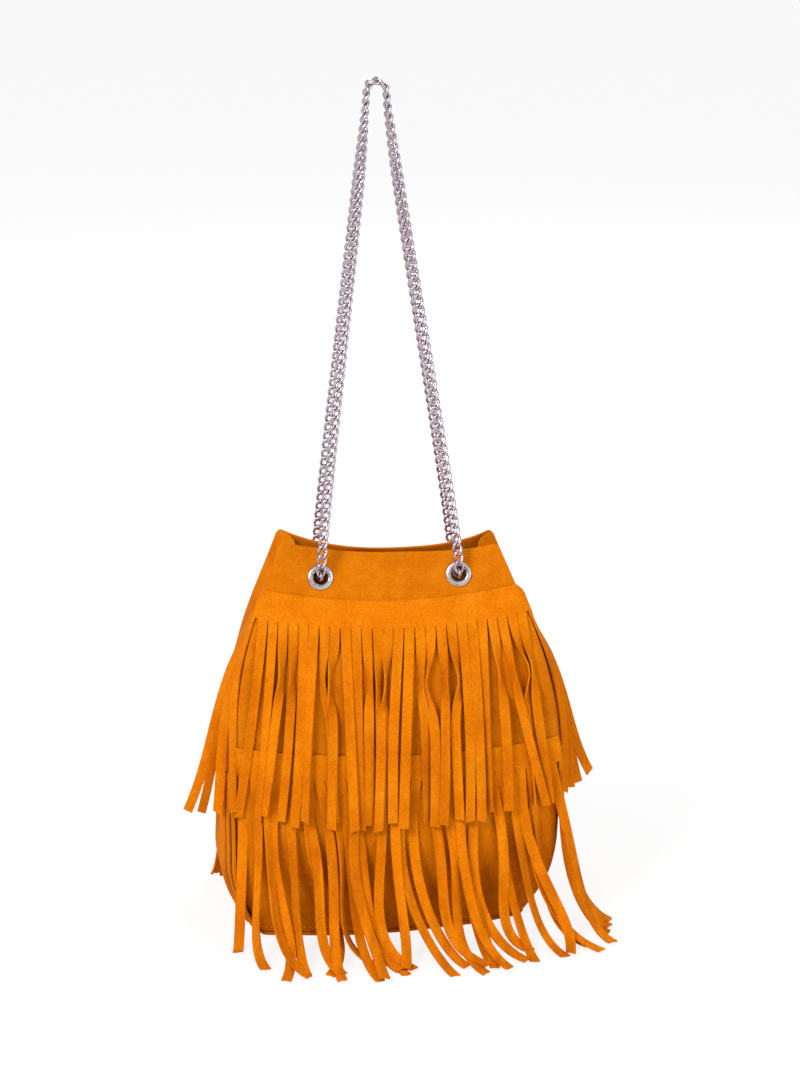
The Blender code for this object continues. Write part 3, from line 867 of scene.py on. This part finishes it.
flange_nickel = nickel("eyelet_nickel", (0.60, 0.55, 0.54), 0.24)
back_of = LEATHER + 0.0008 + 0.0010
flange = []
for step in range(13):
    angle = math.pi * step / 12
    middle, half = (EYELET_FLANGE + EYELET_BORE) / 2, (EYELET_FLANGE - EYELET_BORE) / 2
    flange.append((middle + half * math.cos(angle), 0.0003 + EYELET_CROWN * math.sin(angle) ** 0.8))
barrel = EYELET_BORE + EYELET_WALL
eyelet_profile = flange + [
    (EYELET_BORE, -back_of - 0.0006),
    (EYELET_BORE + 0.0004, -back_of - 0.0010),
    (barrel + 0.0010, -back_of - 0.0010),
    (barrel + 0.0014, -back_of - 0.0006),
    (barrel + 0.0012, -back_of - 0.0003),
    (barrel, -back_of - 0.0003),
    (barrel, 0.0003),
]
washer_profile = [
    (0.0090, -LEATHER - 0.0010),
    (0.0088, -LEATHER - 0.0008),
    (barrel + 0.0003, -LEATHER - 0.0008),
    (barrel + 0.0003, -LEATHER - 0.0018),
    (0.0088, -LEATHER - 0.0018),
    (0.0090, -LEATHER - 0.0016),
]
for word, side in (("front", 1), ("back", -1)):
    for hand_word, hand in (("left", -side), ("right", side)):
        centre, normal = eyelet_seat(hand, side)
        seat = Matrix.Translation(centre) @ normal.to_track_quat("Z", "Y").to_matrix().to_4x4()
        for kind, profile in (("eyelet", eyelet_profile), ("washer", washer_profile)):
            node = "%s_%s_%s" % (kind, word, hand_word)
            points, faces = turned_ring(profile, seat, 48)
            ring = new_object(node + "_nickel", points, faces, flange_nickel, "nickel", "bag")
            ring.data.set_sharp_from_angle(angle=math.radians(50))
            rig.replaces(ring, node)


# ---------------------------------------------------------------- chain
# One closed loop of curb chain in nickel plated steel wire. It runs inside the mouth
# between the eyelets, and its two outer runs are the handles, which go up over a hook.
# Each link is an oval ring of wire with a twist, so that it lies flat against the next.

LINK_PITCH = 0.0071
LINK_WIRE = 0.00235
END_LINK_LENGTH = 0.0080
PIVOT_STAND = 0.0065
HOOK_HEIGHT = 0.652
HOOK_SIDE = -0.003
HOOK_RADIUS = 0.0075
X_AXIS = Vector((1, 0, 0))


def bezier(first, second, third, fourth, steps):
    path = []
    for step in range(steps + 1):
        share = step / steps
        rest = 1 - share
        path.append(
            first * rest**3 + second * 3 * rest**2 * share
            + third * 3 * rest * share**2 + fourth * share**3
        )
    return path


def stations_on(path):
    """The joints between links: even spacing, with a longer link at each end."""
    reach = [0.0]
    for first, second in zip(path, path[1:]):
        reach.append(reach[-1] + (second - first).length)
    count = round((reach[-1] - 2 * END_LINK_LENGTH) / LINK_PITCH) + 2
    pitch = (reach[-1] - 2 * END_LINK_LENGTH) / (count - 2)
    wanted = [0.0] + [END_LINK_LENGTH + pitch * index for index in range(count - 1)] + [reach[-1]]
    places, span = [], 0
    for distance in wanted:
        while span < len(path) - 2 and reach[span + 1] < distance:
            span += 1
        share = (distance - reach[span]) / (reach[span + 1] - reach[span])
        places.append(path[span].lerp(path[span + 1], share))
    return places


def link(points, faces, low, high, wide, wire, width, twist, ends):
    """One link of wire between two joints: ends says which of them get the twist."""
    along = (high - low).normalized()
    wide = (wide - along * wide.dot(along)).normalized()
    thin = along.cross(wide)
    centre = (low + high) / 2
    long_half = (high - low).length / 2 + wire / 2
    wide_half = (width - wire) / 2
    start = len(points)
    steps, sides = 28, 9

    def at(angle):
        lean = twist * math.sin(2 * angle)
        if (math.sin(angle) > 0 and not ends[1]) or (math.sin(angle) < 0 and not ends[0]):
            lean = 0
        square = 0.86 + 0.14 * abs(math.sin(2 * angle))
        return (
            centre + wide * wide_half * math.cos(angle) / square * 0.93
            + thin * lean + along * long_half * math.sin(angle)
        )

    for step in range(steps):
        angle = 2 * math.pi * step / steps
        spot = at(angle)
        run = (at(angle + 0.02) - at(angle - 0.02)).normalized()
        first = run.cross(thin).normalized()
        second = run.cross(first)
        for corner in range(sides):
            turn = 2 * math.pi * corner / sides
            points.append(spot + (first * math.cos(turn) + second * math.sin(turn) * 0.94) * wire / 2)
    for step in range(steps):
        here, there = start + step * sides, start + (step + 1) % steps * sides
        for corner in range(sides):
            following = (corner + 1) % sides
            faces.append((here + corner, there + corner, there + following, here + following))


def run_of_links(name, places, wides, material, body, node):
    points, faces = [], []
    last = len(places) - 2
    for index in range(last + 1):
        low, high = places[index], places[index + 1]
        wide = wides[index] + wides[index + 1]
        if index in (0, last):
            ends = (index != 0, index != last)
            link(points, faces, low, high, wides[0] if index == 0 else wides[-1], 0.0018, 0.0076, 0.0012, ends)
        else:
            link(points, faces, low, high, wide, LINK_WIRE, 0.0081, 0.0014, (True, True))
    chain = new_object(name, points, faces, material, "nickel", body)
    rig.replaces(chain, node)
    return chain


def pivot(hand, side):
    """Where a handle's end link hangs, out from its eyelet and level with the other one."""
    seats = [eyelet_seat(-1, side), eyelet_seat(1, side)]
    normal = seats[0][1] + seats[1][1]
    out = Vector((0, normal.y, normal.z)).normalized()
    place = (seats[0][0] + seats[1][0]) / 2 + out * PIVOT_STAND
    place.x = eyelet_seat(hand, side)[0].x
    return place, out


chain_nickel = nickel("chain_nickel", (0.60, 0.52, 0.58), 0.20)
for word, side in (("front", 1), ("back", -1)):
    start, _ = pivot(-1, side)
    finish, _ = pivot(1, side)
    if side == -1:
        start, finish = finish, start
    stand_off = 0.0034 * math.cos(math.radians(28)) / 2 + 0.0023 + 0.0012
    hook = Vector((HOOK_SIDE, -side * stand_off, HOOK_HEIGHT - HOOK_RADIUS))
    foot = Vector((hook.x, start.y, start.z))
    up = (hook - foot).normalized()
    rise = (hook - foot).length
    near_top = foot + up * (rise - 0.030)
    bar = up * 0.0006
    path = bezier(
        start + bar, start + bar + up * 0.030, near_top - X_AXIS * HOOK_RADIUS,
        hook - X_AXIS * HOOK_RADIUS, 160,
    )
    for step in range(1, 24):
        angle = math.pi * step / 24
        path.append(hook + (up * math.sin(angle) - X_AXIS * math.cos(angle)) * HOOK_RADIUS)
    path += bezier(
        hook + X_AXIS * HOOK_RADIUS, near_top + X_AXIS * HOOK_RADIUS,
        finish + bar + up * 0.030, finish + bar, 160,
    )
    places = stations_on(path)
    level = X_AXIS.cross(up).normalized()
    wides = []
    for index, place in enumerate(places):
        from_end = min(index, len(places) - 1 - index) / (len(places) / 2)
        quarter = math.pi / 2 * smooth((from_end - 0.72) / 0.26)
        before, after = places[max(index - 1, 0)], places[min(index + 1, len(places) - 1)]
        along = (after - before).normalized()
        flat = level.cross(along)
        wides.append(flat * math.cos(quarter) + level * math.sin(quarter))
    run_of_links("chain_%s_links" % word, places, wides, chain_nickel, word + "_handle", "chain_" + word)

for word, hand in (("left", -1), ("right", 1)):
    front, out_front = pivot(hand, 1)
    back, out_back = pivot(-hand, -1)
    start, finish = front + out_front * 0.0015, back + out_back * 0.0015
    reach = (finish - start).length * 0.45
    places = stations_on(bezier(start, start - out_front * reach, finish - out_back * reach, finish, 80))
    wides = []
    for index in range(len(places)):
        before, after = places[max(index - 1, 0)], places[min(index + 1, len(places) - 1)]
        wides.append(X_AXIS.cross((after - before).normalized()))
    run_of_links("chain_inside_%s_links" % word, places, wides, chain_nickel, "bag", "chain_inside_" + word)


# ---------------------------------------------------------------- floor, light and camera

floor_mesh = bpy.data.meshes.new("floor")
floor_mesh.from_pydata([(-15, -15, 0), (15, -15, 0), (15, 15, 0), (-15, 15, 0)], [], [(0, 1, 2, 3)])
floor = bpy.data.objects.new("floor", floor_mesh)
bpy.context.scene.collection.objects.link(floor)
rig.stage(floor)
pale = bpy.data.materials.new("floor_pale")
pale.use_nodes = True
nodes = pale.node_tree.nodes
links = pale.node_tree.links
nodes.remove(nodes["Principled BSDF"])
matte = nodes.new("ShaderNodeBsdfDiffuse")
matte.inputs["Color"].default_value = (0.82, 0.82, 0.82, 1)
glow = nodes.new("ShaderNodeEmission")
glow.inputs["Color"].default_value = (1, 1, 1, 1)
glow.inputs["Strength"].default_value = 1.05
ray = nodes.new("ShaderNodeLightPath")
share = nodes.new("ShaderNodeMath")
share.operation = "MULTIPLY"
share.inputs[1].default_value = 0.80
links.new(ray.outputs["Is Camera Ray"], share.inputs[0])
blend = nodes.new("ShaderNodeMixShader")
links.new(share.outputs["Value"], blend.inputs["Fac"])
links.new(matte.outputs["BSDF"], blend.inputs[1])
links.new(glow.outputs["Emission"], blend.inputs[2])
links.new(blend.outputs["Shader"], nodes["Material Output"].inputs["Surface"])
floor.data.materials.append(pale)

world = bpy.data.worlds.new("studio")
bpy.context.scene.world = world
world.use_nodes = True
nodes = world.node_tree.nodes
links = world.node_tree.links
soft = nodes["Background"]
soft.inputs["Color"].default_value = (1, 0.99, 0.98, 1)
sky = nodes.new("ShaderNodeTexCoord")
patch = nodes.new("ShaderNodeTexNoise")
patch.inputs["Scale"].default_value = 2.6
patch.inputs["Detail"].default_value = 1
links.new(sky.outputs["Generated"], patch.inputs["Vector"])
panels = nodes.new("ShaderNodeMapRange")
panels.inputs["From Min"].default_value = 0.40
panels.inputs["From Max"].default_value = 0.60
panels.inputs["To Min"].default_value = 0.12
panels.inputs["To Max"].default_value = 1.25
links.new(patch.outputs["Fac"], panels.inputs["Value"])
links.new(panels.outputs["Result"], soft.inputs["Strength"])
white = nodes.new("ShaderNodeBackground")
white.inputs["Color"].default_value = (1, 1, 1, 1)
white.inputs["Strength"].default_value = 0.98
ray = nodes.new("ShaderNodeLightPath")
seen = nodes.new("ShaderNodeMixShader")
links.new(ray.outputs["Is Camera Ray"], seen.inputs["Fac"])
links.new(soft.outputs["Background"], seen.inputs[1])
links.new(white.outputs["Background"], seen.inputs[2])
links.new(seen.outputs["Shader"], nodes["World Output"].inputs["Surface"])


def soft_box(name, place, aim, size, power):
    lamp = bpy.data.lights.new(name, "AREA")
    lamp.shape = "SQUARE"
    lamp.size = size
    lamp.energy = power
    box = bpy.data.objects.new(name, lamp)
    bpy.context.scene.collection.objects.link(box)
    box.location = place
    box.rotation_euler = (Vector(aim) - Vector(place)).to_track_quat("-Z", "Y").to_euler()


soft_box("key_light", (-1.7, -1.9, 2.2), (0, 0, 0.25), 0.9, 62)
soft_box("fill_light", (1.8, -1.6, 1.4), (0, 0, 0.2), 1.4, 12)
soft_box("back_light", (0.8, 2.4, 1.9), (0, 0, 0.2), 1.4, 26)

AZIMUTH, ELEVATION, DISTANCE = math.radians(-5), math.radians(16), 2.2
aim = Vector((0.0146, 0, 0.305))
camera_data = bpy.data.cameras.new("camera")
camera = bpy.data.objects.new("camera", camera_data)
bpy.context.scene.collection.objects.link(camera)
camera.location = aim + DISTANCE * Vector((
    math.sin(AZIMUTH) * math.cos(ELEVATION),
    -math.cos(AZIMUTH) * math.cos(ELEVATION),
    math.sin(ELEVATION),
))
camera.rotation_euler = (aim - camera.location).to_track_quat("-Z", "Y").to_euler()
camera_data.sensor_fit = "VERTICAL"
camera_data.angle = 2 * math.atan(0.4105 / DISTANCE)
camera_data.clip_end = 60
bpy.context.scene.camera = camera
bpy.context.scene.view_settings.view_transform = "Standard"

lowest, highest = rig.bounds()
with open("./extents.json") as size_file:
    sizes = json.load(size_file)
sizes["visual"] = [list(lowest), list(highest)]
with open("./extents.json", "w") as size_file:
    json.dump(sizes, size_file)
